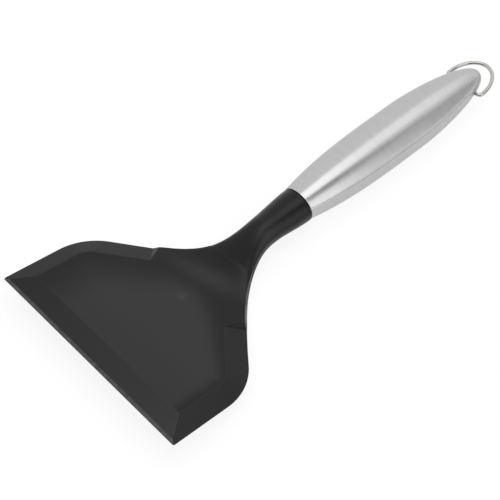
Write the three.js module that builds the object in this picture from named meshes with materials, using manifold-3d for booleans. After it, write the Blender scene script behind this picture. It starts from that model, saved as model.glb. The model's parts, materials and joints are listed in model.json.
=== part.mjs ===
// Wide kitchen turner: a bevelled nylon head in a hollow steel handle with a wire hanging loop.
// Millimetres, +Z up. It lies at rest on a table, on its heel and on the belly of its handle:
// the blade's front edge points to +Y, the handle runs to -Y, and X is the width.

import * as THREE from 'three';
import { mergeVertices } from 'three/addons/utils/BufferGeometryUtils.js';
import Module from 'manifold-3d';

const degrees = THREE.MathUtils.degToRad;

// Blade: distances run from the front edge towards the handle.
const BLADE_WIDTH = 136;
const BLADE_THICKNESS = 2;
const TIP_RADIUS = 1.2;
const SHOULDER_WIDTH = 134.8;
const SHOULDER_DISTANCE = 51;
const SHOULDER_ANGLE = degrees(40.3);
const SHOULDER_RADIUS = 34;

// Bevels on the blade's upper side, with a steeper lip along the front edge.
const FRONT_EDGE_THICKNESS = 0.4;
const LIP_DEPTH = 1.8;
const LIP_THICKNESS = 1.2;
const FRONT_BEVEL = 13.4;
const SIDE_BEVEL = 10.2;
const SHOULDER_BEVEL = 11.2;
const SIDE_EDGE_THICKNESS = 0.5;
const RIDGE_RADIUS = 12;
const BEVEL_RUN = 38.4;
const STEP_SLOPE = 2.1;

// Neck: from the end of the shoulder bevels up to the mouth of the handle.
const ROOT_MARGIN = 4.16;
const ROOT_FLARE = 1.2;
const ROOT_ANGLE = degrees(42);
const ROOT_EDGE_INSET = 0.6;
const NECK_LENGTH = 68.3;
const RAMP_START = 4.6;
const RAMP_END_FROM_MOUTH = 25.9;
const HEEL_START = 18.5;
const HEEL_END_FROM_MOUTH = 19.4;
const WAIST_FROM_MOUTH = 28.1;
const WAIST_WIDTH = 18;
const WAIST_HEIGHT = 15.5;
const NECK_SIDE_FLAT = 0.8;
const NECK_DROP = 0.55;
const NECK_END_ROUND = 0.5;

// Handle: a hollow shell pressed in two parts, measured along its own axis from the mouth.
const MOUTH_RISE = 21.35;
const HANDLE_PITCH = degrees(8.85);
const HANDLE_LENGTH = 153.3;
const MOUTH_WIDTH = 22.1;
const MOUTH_HEIGHT = 18.8;
const BELLY_DISTANCE = 89.8;
const BELLY_WIDTH = 32.7;
const BELLY_HEIGHT = 27.8;
const MOUTH_FLARE = 0.196;
const TAIL_LENGTH_POWER = 1.54;
const TAIL_ROUND_POWER = 2.3;
const SHELL_THICKNESS = 1;
const WELD_HEIGHT = 4.4;
const WELD_GAP = 0.3;

// Tang of the head, bonded in the handle's mouth.
const SEAT_GAP = 0.3;
const TANG_CLEARANCE = 0.3;
const COLLAR_LENGTH = 14;
const COLLAR_ROOT = 6;
const TANG_LENGTH = 48;
const RIB_THICKNESS = 3.2;
const RIB_INSET = 0.6;

// Hanging loop: a wire bent to half an oval, its ends turned in through the handle's sides.
const WIRE_DIAMETER = 2.4;
const LOOP_WIDTH = 26.4;
const LOOP_REACH = 21.3;
const LOOP_BEND_RADIUS = 2.4;
const LOOP_LIFT = degrees(6);
const PIVOT_FROM_END = 13.3;
const PIVOT_DROP = 1.4;
const WIRE_END_INSIDE = 2;
const HOLE_CLEARANCE = 0.3;

// Facets.
const TIP_STEPS = 4;
const CORNER_STEPS = 12;
const NECK_STEPS = 26;
const SECTION_POINTS = 25;
const SHELL_RINGS = 14;
const SHELL_SIDES = 36;
const COLLAR_SIDES = 40;
const HOLE_SIDES = 24;
const WIRE_STEPS = 76;
const WIRE_HALF_SIDES = 6;
const STATION_SPACING = 0.05;

// Share by which the bevel cutters reach past the bevel on both sides.
const CUTTER_OVERSHOOT = 0.25;

// Reach of a cubic curve's handles that makes a quarter of a circle.
const QUARTER_PULL = 0.5523;

const wasm = await Module();
wasm.setup();

// Cubic curve between two values with given slopes at both ends.
function easeBetween(position, start, end, from, to, slopeFrom, slopeTo) {
  const length = end - start;
  const t = THREE.MathUtils.clamp((position - start) / length, 0, 1);
  const rise = t * t * (3 - 2 * t);
  const leave = t * (1 - t) * (1 - t) * length * slopeFrom;
  const arrive = t * t * (t - 1) * length * slopeTo;
  return from + (to - from) * rise + leave + arrive;
}

// Closed mesh through a row of rings with equally many points each. Point i of a ring lies opposite
// the point i from its end, so the two end rings are closed by strips across them.
function loft(rings) {
  const count = rings[0].length;
  const positions = rings.flat().flatMap((point) => point.toArray());
  const triangles = [];
  const addQuad = (a, b, c, d) => triangles.push(a, b, c, a, c, d);
  for (let ring = 0; ring + 1 < rings.length; ring += 1) {
    for (let i = 0; i < count; i += 1) {
      const next = (i + 1) % count;
      const here = ring * count;
      addQuad(here + i, here + next, here + count + next, here + count + i);
    }
  }
  const last = (rings.length - 1) * count;
  for (let i = 0; i + 1 < count / 2; i += 1) {
    addQuad(count - 1 - i, count - 2 - i, i + 1, i);
    addQuad(last + i, last + i + 1, last + count - 2 - i, last + count - 1 - i);
  }
  const geometry = new THREE.BufferGeometry();
  geometry.setAttribute('position', new THREE.Float32BufferAttribute(positions, 3));
  geometry.setIndex(triangles);
  return weld(geometry);
}

// Merges equal corners, drops triangles that have collapsed and turns all faces outwards.
function weld(geometry) {
  const bare = geometry.clone();
  bare.deleteAttribute('normal');
  bare.deleteAttribute('uv');
  const merged = mergeVertices(bare, 1e-4);
  const corners = merged.attributes.position;
  const index = merged.index.array;
  const kept = [];
  const [a, b, c] = [new THREE.Vector3(), new THREE.Vector3(), new THREE.Vector3()];
  let volume = 0;
  for (let i = 0; i < index.length; i += 3) {
    const triangle = [index[i], index[i + 1], index[i + 2]];
    if (new Set(triangle).size === 3) {
      kept.push(...triangle);
      a.fromBufferAttribute(corners, triangle[0]);
      b.fromBufferAttribute(corners, triangle[1]);
      c.fromBufferAttribute(corners, triangle[2]);
      volume += a.dot(b.cross(c)) / 6;
    }
  }
  merged.setIndex(volume < 0 ? kept.reverse() : kept);
  return merged;
}

function toSolid(geometry) {
  const welded = weld(geometry);
  const mesh = new wasm.Mesh({
    numProp: 3,
    vertProperties: new Float32Array(welded.attributes.position.array),
    triVerts: new Uint32Array(welded.index.array),
  });
  return new wasm.Manifold(mesh);
}

function toGeometry(solid) {
  const mesh = solid.getMesh();
  const geometry = new THREE.BufferGeometry();
  geometry.setAttribute('position', new THREE.BufferAttribute(mesh.vertProperties, 3));
  geometry.setIndex(new THREE.BufferAttribute(mesh.triVerts, 1));
  return geometry;
}

// Plan of the blade: x is the distance from the midline, y the distance from the front edge.
const frontTip = new THREE.Vector2(BLADE_WIDTH / 2, 0);
const shoulder = new THREE.Vector2(SHOULDER_WIDTH / 2, SHOULDER_DISTANCE);
const alongSide = shoulder.clone().sub(frontTip).normalize();
const alongShoulder = new THREE.Vector2(-Math.cos(SHOULDER_ANGLE), Math.sin(SHOULDER_ANGLE));
const shoulderTurn = Math.acos(alongSide.dot(alongShoulder));

// Inward direction across an edge that is followed from the front tip to the handle.
function inwards(direction) {
  return new THREE.Vector2(-direction.y, direction.x);
}

// Arc that rounds a corner between the side's and the shoulder's direction.
function roundCorner(corner, radius) {
  const tangent = radius * Math.tan(shoulderTurn / 2);
  const start = corner.clone().addScaledVector(alongSide, -tangent);
  const end = corner.clone().addScaledVector(alongShoulder, tangent);
  const centre = start.clone().addScaledVector(inwards(alongSide), radius);
  const pointAt = (share) => start.clone().rotateAround(centre, share * shoulderTurn);
  return { start, end, centre, radius, pointAt };
}

// Place where the bevel's inner ridge would turn if its corner were sharp.
function findRidgeCorner() {
  const acrossSide = inwards(alongSide).multiplyScalar(SIDE_BEVEL);
  const acrossShoulder = inwards(alongShoulder).multiplyScalar(SHOULDER_BEVEL);
  const between = acrossShoulder.clone().sub(acrossSide);
  const share = between.cross(alongShoulder) / alongSide.cross(alongShoulder);
  return shoulder.clone().add(acrossSide).addScaledVector(alongSide, share);
}

const outerCorner = roundCorner(shoulder, SHOULDER_RADIUS);
const ridgeCorner = roundCorner(findRidgeCorner(), RIDGE_RADIUS);
const bevelEnd = shoulder.clone().addScaledVector(alongShoulder, BEVEL_RUN);

const neckRoot = bevelEnd.y + ROOT_MARGIN;
const mouth = neckRoot + NECK_LENGTH;
const waist = mouth - WAIST_FROM_MOUTH;
const rampStart = neckRoot + RAMP_START;
const rampEnd = mouth - RAMP_END_FROM_MOUTH;
const heelStart = neckRoot + HEEL_START;
const heelEnd = mouth - HEEL_END_FROM_MOUTH;
const neckEnd = mouth - SEAT_GAP * Math.cos(HANDLE_PITCH);
const pitchSlope = Math.tan(HANDLE_PITCH);
const shoulderSlope = -1 / Math.tan(SHOULDER_ANGLE);
const rootSlope = -1 / Math.tan(ROOT_ANGLE);
const rootHalfWidth = shoulder.x + (neckRoot - SHOULDER_DISTANCE) * shoulderSlope + ROOT_FLARE;

function halfWidthAt(distance) {
  const side = frontTip.x + (distance * alongSide.x) / alongSide.y;
  if (distance < TIP_RADIUS) {
    return side - TIP_RADIUS + Math.sqrt(TIP_RADIUS ** 2 - (TIP_RADIUS - distance) ** 2);
  }
  if (distance <= outerCorner.start.y) {
    return side;
  }
  if (distance <= outerCorner.end.y) {
    const { centre, radius } = outerCorner;
    return centre.x + Math.sqrt(radius ** 2 - (distance - centre.y) ** 2);
  }
  if (distance <= bevelEnd.y) {
    return shoulder.x + (distance - SHOULDER_DISTANCE) * shoulderSlope;
  }
  if (distance <= neckRoot) {
    return THREE.MathUtils.mapLinear(distance, bevelEnd.y, neckRoot, bevelEnd.x, rootHalfWidth);
  }
  if (distance <= waist) {
    return easeBetween(distance, neckRoot, waist, rootHalfWidth, WAIST_WIDTH / 2, rootSlope, 0);
  }
  return easeBetween(distance, waist, mouth, WAIST_WIDTH / 2, MOUTH_WIDTH / 2, 0, 0);
}

// Height of the neck's axis, which runs a little below the handle's.
function axisHeightAt(distance) {
  return MOUTH_RISE - NECK_DROP + (distance - mouth) * pitchSlope;
}

function neckHalfHeightAt(distance) {
  return easeBetween(distance, waist, mouth, WAIST_HEIGHT / 2, MOUTH_HEIGHT / 2, 0, 0);
}

function topAt(distance) {
  if (distance < LIP_DEPTH) {
    return THREE.MathUtils.lerp(FRONT_EDGE_THICKNESS, LIP_THICKNESS, distance / LIP_DEPTH);
  }
  if (distance < FRONT_BEVEL) {
    const share = (distance - LIP_DEPTH) / (FRONT_BEVEL - LIP_DEPTH);
    return THREE.MathUtils.lerp(LIP_THICKNESS, BLADE_THICKNESS, share);
  }
  if (distance < rampEnd) {
    const crest = axisHeightAt(rampEnd) + neckHalfHeightAt(rampEnd);
    return easeBetween(distance, rampStart, rampEnd, BLADE_THICKNESS, crest, 0, pitchSlope);
  }
  return axisHeightAt(distance) + neckHalfHeightAt(distance);
}

function bottomAt(distance) {
  if (distance < heelEnd) {
    const underside = axisHeightAt(heelEnd) - neckHalfHeightAt(heelEnd);
    return easeBetween(distance, heelStart, heelEnd, 0, underside, 0, pitchSlope);
  }
  return axisHeightAt(distance) - neckHalfHeightAt(distance);
}

// One section of the head. The blade's is a plain bar; along the neck it swells to an oval with a
// narrow flat at each side, and leans over until it is square to the handle's axis.
function headSection(distance, inset) {
  const middle = (topAt(distance) + bottomAt(distance)) / 2;
  const halfHeight = (topAt(distance) - bottomAt(distance)) / 2 - inset;
  const halfWidth = halfWidthAt(distance) - inset;
  const swell = THREE.MathUtils.smoothstep(distance, neckRoot, waist);
  const sideFlat = THREE.MathUtils.lerp(BLADE_THICKNESS, NECK_SIDE_FLAT, swell) / 2;
  const wall = Math.min(halfHeight, sideFlat);
  const raised = THREE.MathUtils.smoothstep(distance, bevelEnd.y, neckRoot);
  const upperHalfWidth = halfWidth - ROOT_EDGE_INSET * raised * (1 - swell);
  const lean = HANDLE_PITCH * THREE.MathUtils.smoothstep(distance, heelStart, mouth);
  const upper = [];
  const lower = [];
  for (let i = 0; i < SECTION_POINTS; i += 1) {
    const angle = Math.PI * (i / (SECTION_POINTS - 1) - 0.5);
    const height = wall + (halfHeight - wall) * Math.cos(angle);
    const across = Math.sin(angle);
    const y = height * Math.sin(lean);
    const z = height * Math.cos(lean);
    upper.push(new THREE.Vector3(upperHalfWidth * across, y - distance, middle + z));
    lower.unshift(new THREE.Vector3(halfWidth * across, -y - distance, middle - z));
  }
  return [...upper, ...lower];
}

function headStations() {
  const stations = [LIP_DEPTH, FRONT_BEVEL, bevelEnd.y, rampStart, heelStart];
  for (let i = 0; i <= TIP_STEPS; i += 1) {
    stations.push(TIP_RADIUS * (1 - Math.cos((Math.PI / 2) * (i / TIP_STEPS))));
  }
  for (let i = 0; i <= CORNER_STEPS; i += 1) {
    stations.push(outerCorner.pointAt(i / CORNER_STEPS).y);
  }
  for (let i = 0; i < NECK_STEPS; i += 1) {
    stations.push(THREE.MathUtils.lerp(neckRoot, neckEnd - NECK_END_ROUND, i / NECK_STEPS));
  }
  stations.push(neckEnd - NECK_END_ROUND);
  stations.sort((a, b) => a - b);
  return stations.filter((station, i) => i === 0 || station - stations[i - 1] > STATION_SPACING);
}

// Wedge that cuts one side's bevel: it follows the side, the rounded shoulder and the shoulder edge,
// and its sloping end leaves the step at the root of the neck.
function bevelCutter(side) {
  const drop = BLADE_THICKNESS - SIDE_EDGE_THICKNESS;
  const clearTop = 2 * BLADE_THICKNESS;
  const pastTip = (corner) => -corner.start.y / alongSide.y - SIDE_BEVEL;
  const pairs = [[
    outerCorner.start.clone().addScaledVector(alongSide, pastTip(outerCorner)),
    ridgeCorner.start.clone().addScaledVector(alongSide, pastTip(ridgeCorner)),
  ]];
  for (let i = 0; i <= CORNER_STEPS; i += 1) {
    pairs.push([outerCorner.pointAt(i / CORNER_STEPS), ridgeCorner.pointAt(i / CORNER_STEPS)]);
  }
  const ridgeEnd = bevelEnd.clone().addScaledVector(inwards(alongShoulder), SHOULDER_BEVEL);
  pairs.push([bevelEnd, ridgeEnd]);
  const rings = pairs.map(([edge, ridge], i) => {
    const across = edge.clone().sub(ridge);
    const outer = edge.clone().addScaledVector(across, CUTTER_OVERSHOOT);
    const inner = ridge.clone().addScaledVector(across, -CUTTER_OVERSHOOT);
    const outerFloor = SIDE_EDGE_THICKNESS - CUTTER_OVERSHOOT * drop;
    const innerFloor = BLADE_THICKNESS + CUTTER_OVERSHOOT * drop;
    const slope = i + 1 === pairs.length ? STEP_SLOPE : 0;
    const outerTop = outer.clone().addScaledVector(alongShoulder, slope * (clearTop - outerFloor));
    const innerTop = inner.clone().addScaledVector(alongShoulder, slope * (clearTop - innerFloor));
    return [
      new THREE.Vector3(side * inner.x, -inner.y, innerFloor),
      new THREE.Vector3(side * outer.x, -outer.y, outerFloor),
      new THREE.Vector3(side * outerTop.x, -outerTop.y, clearTop),
      new THREE.Vector3(side * innerTop.x, -innerTop.y, clearTop),
    ];
  });
  return loft(rings);
}

// Half sizes of the handle at a distance from its mouth. The inside is the same form, one wall
// thickness smaller all round.
function handleSection(distance, wall) {
  const tail = HANDLE_LENGTH - wall - BELLY_DISTANCE;
  const size = (atMouth, atBelly) => {
    const [from, to] = [atMouth / 2 - wall, atBelly / 2 - wall];
    if (distance <= BELLY_DISTANCE) {
      const flare = MOUTH_FLARE * (atBelly / BELLY_WIDTH);
      return easeBetween(distance, 0, BELLY_DISTANCE, from, to, flare, 0);
    }
    const share = Math.min((distance - BELLY_DISTANCE) / tail, 1);
    return to * (1 - share ** TAIL_LENGTH_POWER) ** (1 / TAIL_ROUND_POWER);
  };
  return { halfWidth: size(MOUTH_WIDTH, BELLY_WIDTH), halfHeight: size(MOUTH_HEIGHT, BELLY_HEIGHT) };
}

// Rings of the handle's outside or inside, from the mouth to the closed end: even up to the belly,
// then closer and closer. They lie in the handle's frame: mouth at the origin, axis along -Y.
function handleRings(wall) {
  const tail = HANDLE_LENGTH - wall - BELLY_DISTANCE;
  const distances = [];
  for (let i = 0; i < SHELL_RINGS; i += 1) {
    distances.push((BELLY_DISTANCE * i) / SHELL_RINGS);
  }
  for (let i = 0; i <= SHELL_RINGS; i += 1) {
    distances.push(BELLY_DISTANCE + tail * Math.sin((Math.PI / 2) * (i / SHELL_RINGS)));
  }
  return distances.map((distance) => {
    const { halfWidth, halfHeight } = handleSection(distance, wall);
    const ring = [];
    for (let i = 0; i < SHELL_SIDES; i += 1) {
      const angle = (2 * Math.PI * (i + 0.5)) / SHELL_SIDES;
      ring.push(new THREE.Vector3(halfWidth * Math.cos(angle), -distance, halfHeight * Math.sin(angle)));
    }
    return ring;
  });
}

const pivotDistance = HANDLE_LENGTH - PIVOT_FROM_END;
const pivotHalfWidth = handleSection(pivotDistance, 0).halfWidth;

// Round cutter along the loop's pivot, through both sides of the handle.
function pivotHole() {
  const radius = WIRE_DIAMETER / 2 + HOLE_CLEARANCE;
  const geometry = new THREE.CylinderGeometry(radius, radius, 4 * pivotHalfWidth, HOLE_SIDES);
  geometry.rotateZ(Math.PI / 2);
  geometry.translate(0, -pivotDistance, -PIVOT_DROP);
  return geometry;
}

// One part of the handle: the hollow form on one side of the weld, with the loop's holes.
function shellGeometry(side) {
  const hollow = toSolid(loft([...handleRings(0).reverse(), ...handleRings(SHELL_THICKNESS)]));
  const room = 2 * HANDLE_LENGTH;
  const keep = new THREE.BoxGeometry(room, 2 * room, room);
  keep.translate(0, 0, WELD_HEIGHT + side * (room + WELD_GAP) / 2);
  return toGeometry(hollow.intersect(toSolid(keep)).subtract(toSolid(pivotHole())));
}

// Wire loop about its pivot: in at one side, round the oval along -Y, and in again at the other side.
function wireLoop() {
  const half = LOOP_WIDTH / 2;
  const inner = pivotHalfWidth - SHELL_THICKNESS - WIRE_END_INSIDE;
  const bend = LOOP_BEND_RADIUS;
  const bendPull = QUARTER_PULL * bend;
  const sidePull = QUARTER_PULL * (LOOP_REACH - bend);
  const endPull = QUARTER_PULL * half;
  const at = (x, out) => new THREE.Vector3(x, -out, 0);
  const path = new THREE.CurvePath();
  path.add(new THREE.LineCurve3(at(inner, 0), at(half - bend, 0)));
  path.add(new THREE.CubicBezierCurve3(
    at(half - bend, 0), at(half - bend + bendPull, 0), at(half, bend - bendPull), at(half, bend)));
  path.add(new THREE.CubicBezierCurve3(
    at(half, bend), at(half, bend + sidePull), at(endPull, LOOP_REACH), at(0, LOOP_REACH)));
  path.add(new THREE.CubicBezierCurve3(
    at(0, LOOP_REACH), at(-endPull, LOOP_REACH), at(-half, bend + sidePull), at(-half, bend)));
  path.add(new THREE.CubicBezierCurve3(
    at(-half, bend), at(-half, bend - bendPull), at(bend - half - bendPull, 0), at(bend - half, 0)));
  path.add(new THREE.LineCurve3(at(bend - half, 0), at(-inner, 0)));
  const section = new THREE.Shape().absarc(0, 0, WIRE_DIAMETER / 2, 0, 2 * Math.PI);
  const options = { steps: WIRE_STEPS, curveSegments: WIRE_HALF_SIDES, extrudePath: path };
  return weld(new THREE.ExtrudeGeometry(section, { ...options, bevelEnabled: false }));
}

// The handle's frame within the blade's frame.
const handle = new THREE.Group();
handle.position.set(0, -mouth, MOUTH_RISE);
handle.rotation.x = -HANDLE_PITCH;
handle.updateMatrix();

// Tang of the head: an oval collar that fills the mouth and two crossed ribs behind it.
function tangSolid() {
  const halfWidth = MOUTH_WIDTH / 2 - SHELL_THICKNESS - TANG_CLEARANCE;
  const halfHeight = MOUTH_HEIGHT / 2 - SHELL_THICKNESS - TANG_CLEARANCE;
  const oval = new THREE.Shape().absellipse(0, 0, halfWidth, halfHeight, 0, 2 * Math.PI);
  const along = (shape, length) => {
    const depth = COLLAR_ROOT + length;
    const options = { depth, curveSegments: COLLAR_SIDES / 2, bevelEnabled: false };
    const geometry = new THREE.ExtrudeGeometry(shape, options);
    geometry.rotateX(Math.PI / 2);
    geometry.translate(0, COLLAR_ROOT, 0);
    geometry.applyMatrix4(handle.matrix);
    return toSolid(geometry);
  };
  const rib = (halfSpan, halfRise) => {
    const shape = new THREE.Shape().moveTo(-halfSpan, -halfRise).lineTo(halfSpan, -halfRise);
    return shape.lineTo(halfSpan, halfRise).lineTo(-halfSpan, halfRise);
  };
  const flatRib = along(rib(halfWidth - RIB_INSET, RIB_THICKNESS / 2), TANG_LENGTH);
  const uprightRib = along(rib(RIB_THICKNESS / 2, halfHeight - RIB_INSET), TANG_LENGTH);
  return along(oval, COLLAR_LENGTH).add(flatRib).add(uprightRib);
}

function headGeometry() {
  const rings = headStations().map((station) => headSection(station, 0));
  rings.push(headSection(neckEnd, NECK_END_ROUND));
  const body = toSolid(loft(rings)).subtract(toSolid(bevelCutter(1))).subtract(toSolid(bevelCutter(-1)));
  return toGeometry(body.add(tangSolid()));
}

function makePart(name, geometry, color, roughness, metalness) {
  geometry.computeVertexNormals();
  const material = new THREE.MeshStandardMaterial({ color, roughness, metalness });
  const mesh = new THREE.Mesh(geometry, material);
  mesh.name = name;
  return mesh;
}

const head = makePart('nylon_head', headGeometry(), 0x2d2d2e, 0.55, 0);
const upperShell = makePart('handle_upper_shell', shellGeometry(1), 0xc6c5c3, 0.34, 1);
const lowerShell = makePart('handle_lower_shell', shellGeometry(-1), 0xc6c5c3, 0.34, 1);
const loop = makePart('hanging_loop', wireLoop(), 0xd6d3ce, 0.12, 1);
loop.position.set(0, -pivotDistance, -PIVOT_DROP);
loop.rotation.x = -LOOP_LIFT;
handle.add(upperShell, lowerShell, loop);

// Lowest point of a mesh once the blade's frame is tipped back by an angle.
function lowestPoint(mesh, matrix, angle) {
  const tip = new THREE.Matrix4().makeRotationX(angle).multiply(matrix);
  const corners = mesh.geometry.attributes.position;
  const corner = new THREE.Vector3();
  let lowest = Infinity;
  for (let i = 0; i < corners.count; i += 1) {
    lowest = Math.min(lowest, corner.fromBufferAttribute(corners, i).applyMatrix4(tip).z);
  }
  return lowest;
}

// The blade tips back until its heel and the handle's underside touch the table together.
function restTilt() {
  let low = 0;
  let high = Math.PI / 4;
  for (let i = 0; i < 50; i += 1) {
    const angle = (low + high) / 2;
    const headLow = lowestPoint(head, new THREE.Matrix4(), angle);
    if (lowestPoint(lowerShell, handle.matrix, angle) > headLow) {
      low = angle;
    } else {
      high = angle;
    }
  }
  return (low + high) / 2;
}

const turner = new THREE.Group();
turner.add(head, handle);
turner.rotation.x = restTilt();
turner.updateMatrixWorld(true);

// The origin lies on the table, under the middle of the whole turner.
const box = new THREE.Box3().setFromObject(turner, true);
const centre = box.getCenter(new THREE.Vector3());
turner.position.set(-centre.x, -centre.y, -box.min.z);

const spatula = new THREE.Group();
spatula.add(turner);

export default spatula;
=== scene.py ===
import json
import math

import bpy
import numpy as np
from mathutils import Matrix, Vector


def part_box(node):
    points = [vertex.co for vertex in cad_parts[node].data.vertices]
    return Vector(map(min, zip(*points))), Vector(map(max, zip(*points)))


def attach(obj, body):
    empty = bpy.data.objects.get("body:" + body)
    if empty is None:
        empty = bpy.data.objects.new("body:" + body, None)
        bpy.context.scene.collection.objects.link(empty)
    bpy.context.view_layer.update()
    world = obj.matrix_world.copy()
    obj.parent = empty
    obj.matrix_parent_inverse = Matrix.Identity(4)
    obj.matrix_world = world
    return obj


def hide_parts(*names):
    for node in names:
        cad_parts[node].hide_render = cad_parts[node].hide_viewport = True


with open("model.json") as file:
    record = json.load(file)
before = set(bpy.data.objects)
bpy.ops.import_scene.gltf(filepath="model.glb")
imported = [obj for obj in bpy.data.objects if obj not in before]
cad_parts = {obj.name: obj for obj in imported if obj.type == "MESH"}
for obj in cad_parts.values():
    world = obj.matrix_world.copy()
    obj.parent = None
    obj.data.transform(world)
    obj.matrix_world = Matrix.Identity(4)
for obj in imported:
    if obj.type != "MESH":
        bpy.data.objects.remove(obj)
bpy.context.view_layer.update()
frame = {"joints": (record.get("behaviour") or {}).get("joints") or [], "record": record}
underside = frame["record"]["mounts"][0]
loop_hinge = frame["joints"][0]

# Nylon head
# One injection moulding in black nylon: a wide thin blade with bevelled edges, and a neck that rises
# from it to carry the handle clear of the pan. Its collar is pushed into the handle's mouth and bonded.

BLADE_WIDTH = 0.136
BLADE_THICKNESS = 0.0032
TIP_RADIUS = 0.0012
SHOULDER_WIDTH = 0.1348
SHOULDER_DISTANCE = 0.051
SHOULDER_ANGLE = math.radians(40.3)
SHOULDER_RADIUS = 0.034
FRONT_EDGE_THICKNESS = 0.0004
LIP_DEPTH = 0.0018
LIP_THICKNESS = 0.0012
FRONT_BEVEL = 0.0129
SIDE_BEVEL = 0.011
SHOULDER_BEVEL = 0.012
SIDE_EDGE_THICKNESS = 0.0005
RIDGE_RADIUS = 0.012
BEVEL_RUN = 0.0393
STEP_SLOPE = 1.27
STEP_EDGE_INSET = 0.0017
FOOT_FLARE = 0.00045
RIDGE_SOFTNESS = 0.0001
FRONT_SOFTNESS = 0.00005
LIP_SOFTNESS = 0.00015
GATE_DISTANCE = 0.0641
GATE_RADIUS = 0.004
GATE_DEPTH = 0.00018

# Where painted sheen and painted highlights lighten the black nylon, and how strong the painted highlight
# on its ridges is.
# Painted sheen on the flat and the front bevel: a grey that stands in for the light they catch. It
# reaches nearer the ridge on the left.
RIGHT_SHEEN_RIM = 0.036
LEFT_SHEEN_RIM = 0.0065
FLAT_SHEEN = 0.68
FLAT_FRONT_SHARE = 0.8
FLAT_FRONT_REACH = 0.036
FRONT_BEVEL_SHEEN = (0.1, 0.63)
# Painted highlight in a slanted band over the foot of the ramp.
RAMP_HIGHLIGHT = 0.6
HIGHLIGHT_BAND_START = 0.0045
HIGHLIGHT_BAND_SLANT = 0.22
HIGHLIGHT_BAND_REACH = 0.006
HIGHLIGHT_BAND_WIDTH = 0.022
# Painted highlight on one side of the neck's crest.
NECK_HIGHLIGHT = 0.4
NECK_HIGHLIGHT_FROM_MOUTH = 0.031
NECK_HIGHLIGHT_REACH = 0.009
NECK_HIGHLIGHT_OFFSET = -0.0055
NECK_HIGHLIGHT_WIDTH = 0.0035
# Painted highlight along the left ridge and the front ridge.
LEFT_RIDGE_HIGHLIGHT = 0.06
FRONT_RIDGE_HIGHLIGHT = 0.1

# The neck, from its root on the blade to the collar in the handle's mouth.
ROOT_MARGIN = 0.00358
ROOT_FLARE = 0.0012
ROOT_ANGLE = math.radians(42)
ROOT_EDGE_INSET = 0.0022
RAMP_START = 0.0046
RAMP_FILLET_START = -0.0015
RAMP_FILLET_RADIUS = 0.034
RAMP_END_FROM_MOUTH = 0.0259
HEEL_START = 0.0185
HEEL_END_FROM_MOUTH = 0.0194
WAIST_FROM_MOUTH = 0.0281
WAIST_WIDTH = 0.018
WAIST_HEIGHT = 0.0155
NECK_SIDE_FLAT = 0.0008
NECK_DROP = 0.00055
NECK_END_ROUND = 0.0002
SEAT_GAP = 0.00005
COLLAR_LENGTH = 0.014
COLLAR_CLEARANCE = 0.0003

# Rounding of the sharp edges, and the angle up to which faces are shaded as one surface.
EDGE_ROUND = 0.00016
HEAD_EDGE_ANGLE = math.radians(50)
HEAD_SMOOTH_ANGLE = math.radians(35)

# The handle, as far as the neck has to meet it.
HANDLE_PITCH = math.radians(8.85)
MOUTH_WIDTH = 0.0221
MOUTH_HEIGHT = 0.0188
SHELL_THICKNESS = 0.001
PIVOT_FROM_MOUTH = 0.14
PIVOT_DROP = 0.0014

# The blade's own frame has its front edge at the origin and its underside level, with the handle along
# -Y, so +X is to the right as the turner is held. The handle's frame has the mouth at the origin and
# the handle's axis along -Y.
rest_tilt = math.atan2(underside["axis"][1], -underside["axis"][2])
front_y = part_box("nylon_head")[1].y
front_z = underside["pos_m"][2] + (front_y - underside["pos_m"][1]) * math.tan(rest_tilt)
blade_frame = Matrix.Translation((0, front_y, front_z)) @ Matrix.Rotation(rest_tilt, 4, "X")
loop_frame = Matrix.Translation(loop_hinge["pos_m"]) @ Matrix.Rotation(rest_tilt - HANDLE_PITCH, 4, "X")
handle_frame = loop_frame @ Matrix.Translation((0, PIVOT_FROM_MOUTH, PIVOT_DROP))
handle_in_blade = blade_frame.inverted() @ handle_frame
mouth = -handle_in_blade.translation.y
mouth_rise = handle_in_blade.translation.z

# Plan of one side of the blade: x from the midline, y the distance from the front edge.
tip = Vector((BLADE_WIDTH / 2, 0))
shoulder = Vector((SHOULDER_WIDTH / 2, SHOULDER_DISTANCE))
along_side = (shoulder - tip).normalized()
along_shoulder = Vector((-math.cos(SHOULDER_ANGLE), math.sin(SHOULDER_ANGLE)))
corner_turn = along_side.angle(along_shoulder)
CORNER_STEPS = 20


def inwards(direction):
    """A direction along the edge, turned towards the midline."""
    return Vector((-direction.y, direction.x))


def corner_arc(corner, radius):
    """Points of the arc that rounds a corner between the side's and the shoulder's direction."""
    start = corner - along_side * radius * math.tan(corner_turn / 2)
    centre = start + inwards(along_side) * radius
    turns = [Matrix.Rotation(corner_turn * i / CORNER_STEPS, 2) for i in range(CORNER_STEPS + 1)]
    return [centre + turn @ (start - centre) for turn in turns]


def ridge_corner():
    """Where the inner ridge of the bevel would turn if its corner were sharp."""
    across_side = inwards(along_side) * SIDE_BEVEL
    between = inwards(along_shoulder) * SHOULDER_BEVEL - across_side
    share = between.cross(along_shoulder) / along_side.cross(along_shoulder)
    return shoulder + across_side + along_side * share


edge_arc = corner_arc(shoulder, SHOULDER_RADIUS)
ridge_arc = corner_arc(ridge_corner(), RIDGE_RADIUS)
bevel_end = shoulder + along_shoulder * BEVEL_RUN
ridge_end = bevel_end + inwards(along_shoulder) * SHOULDER_BEVEL

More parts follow.
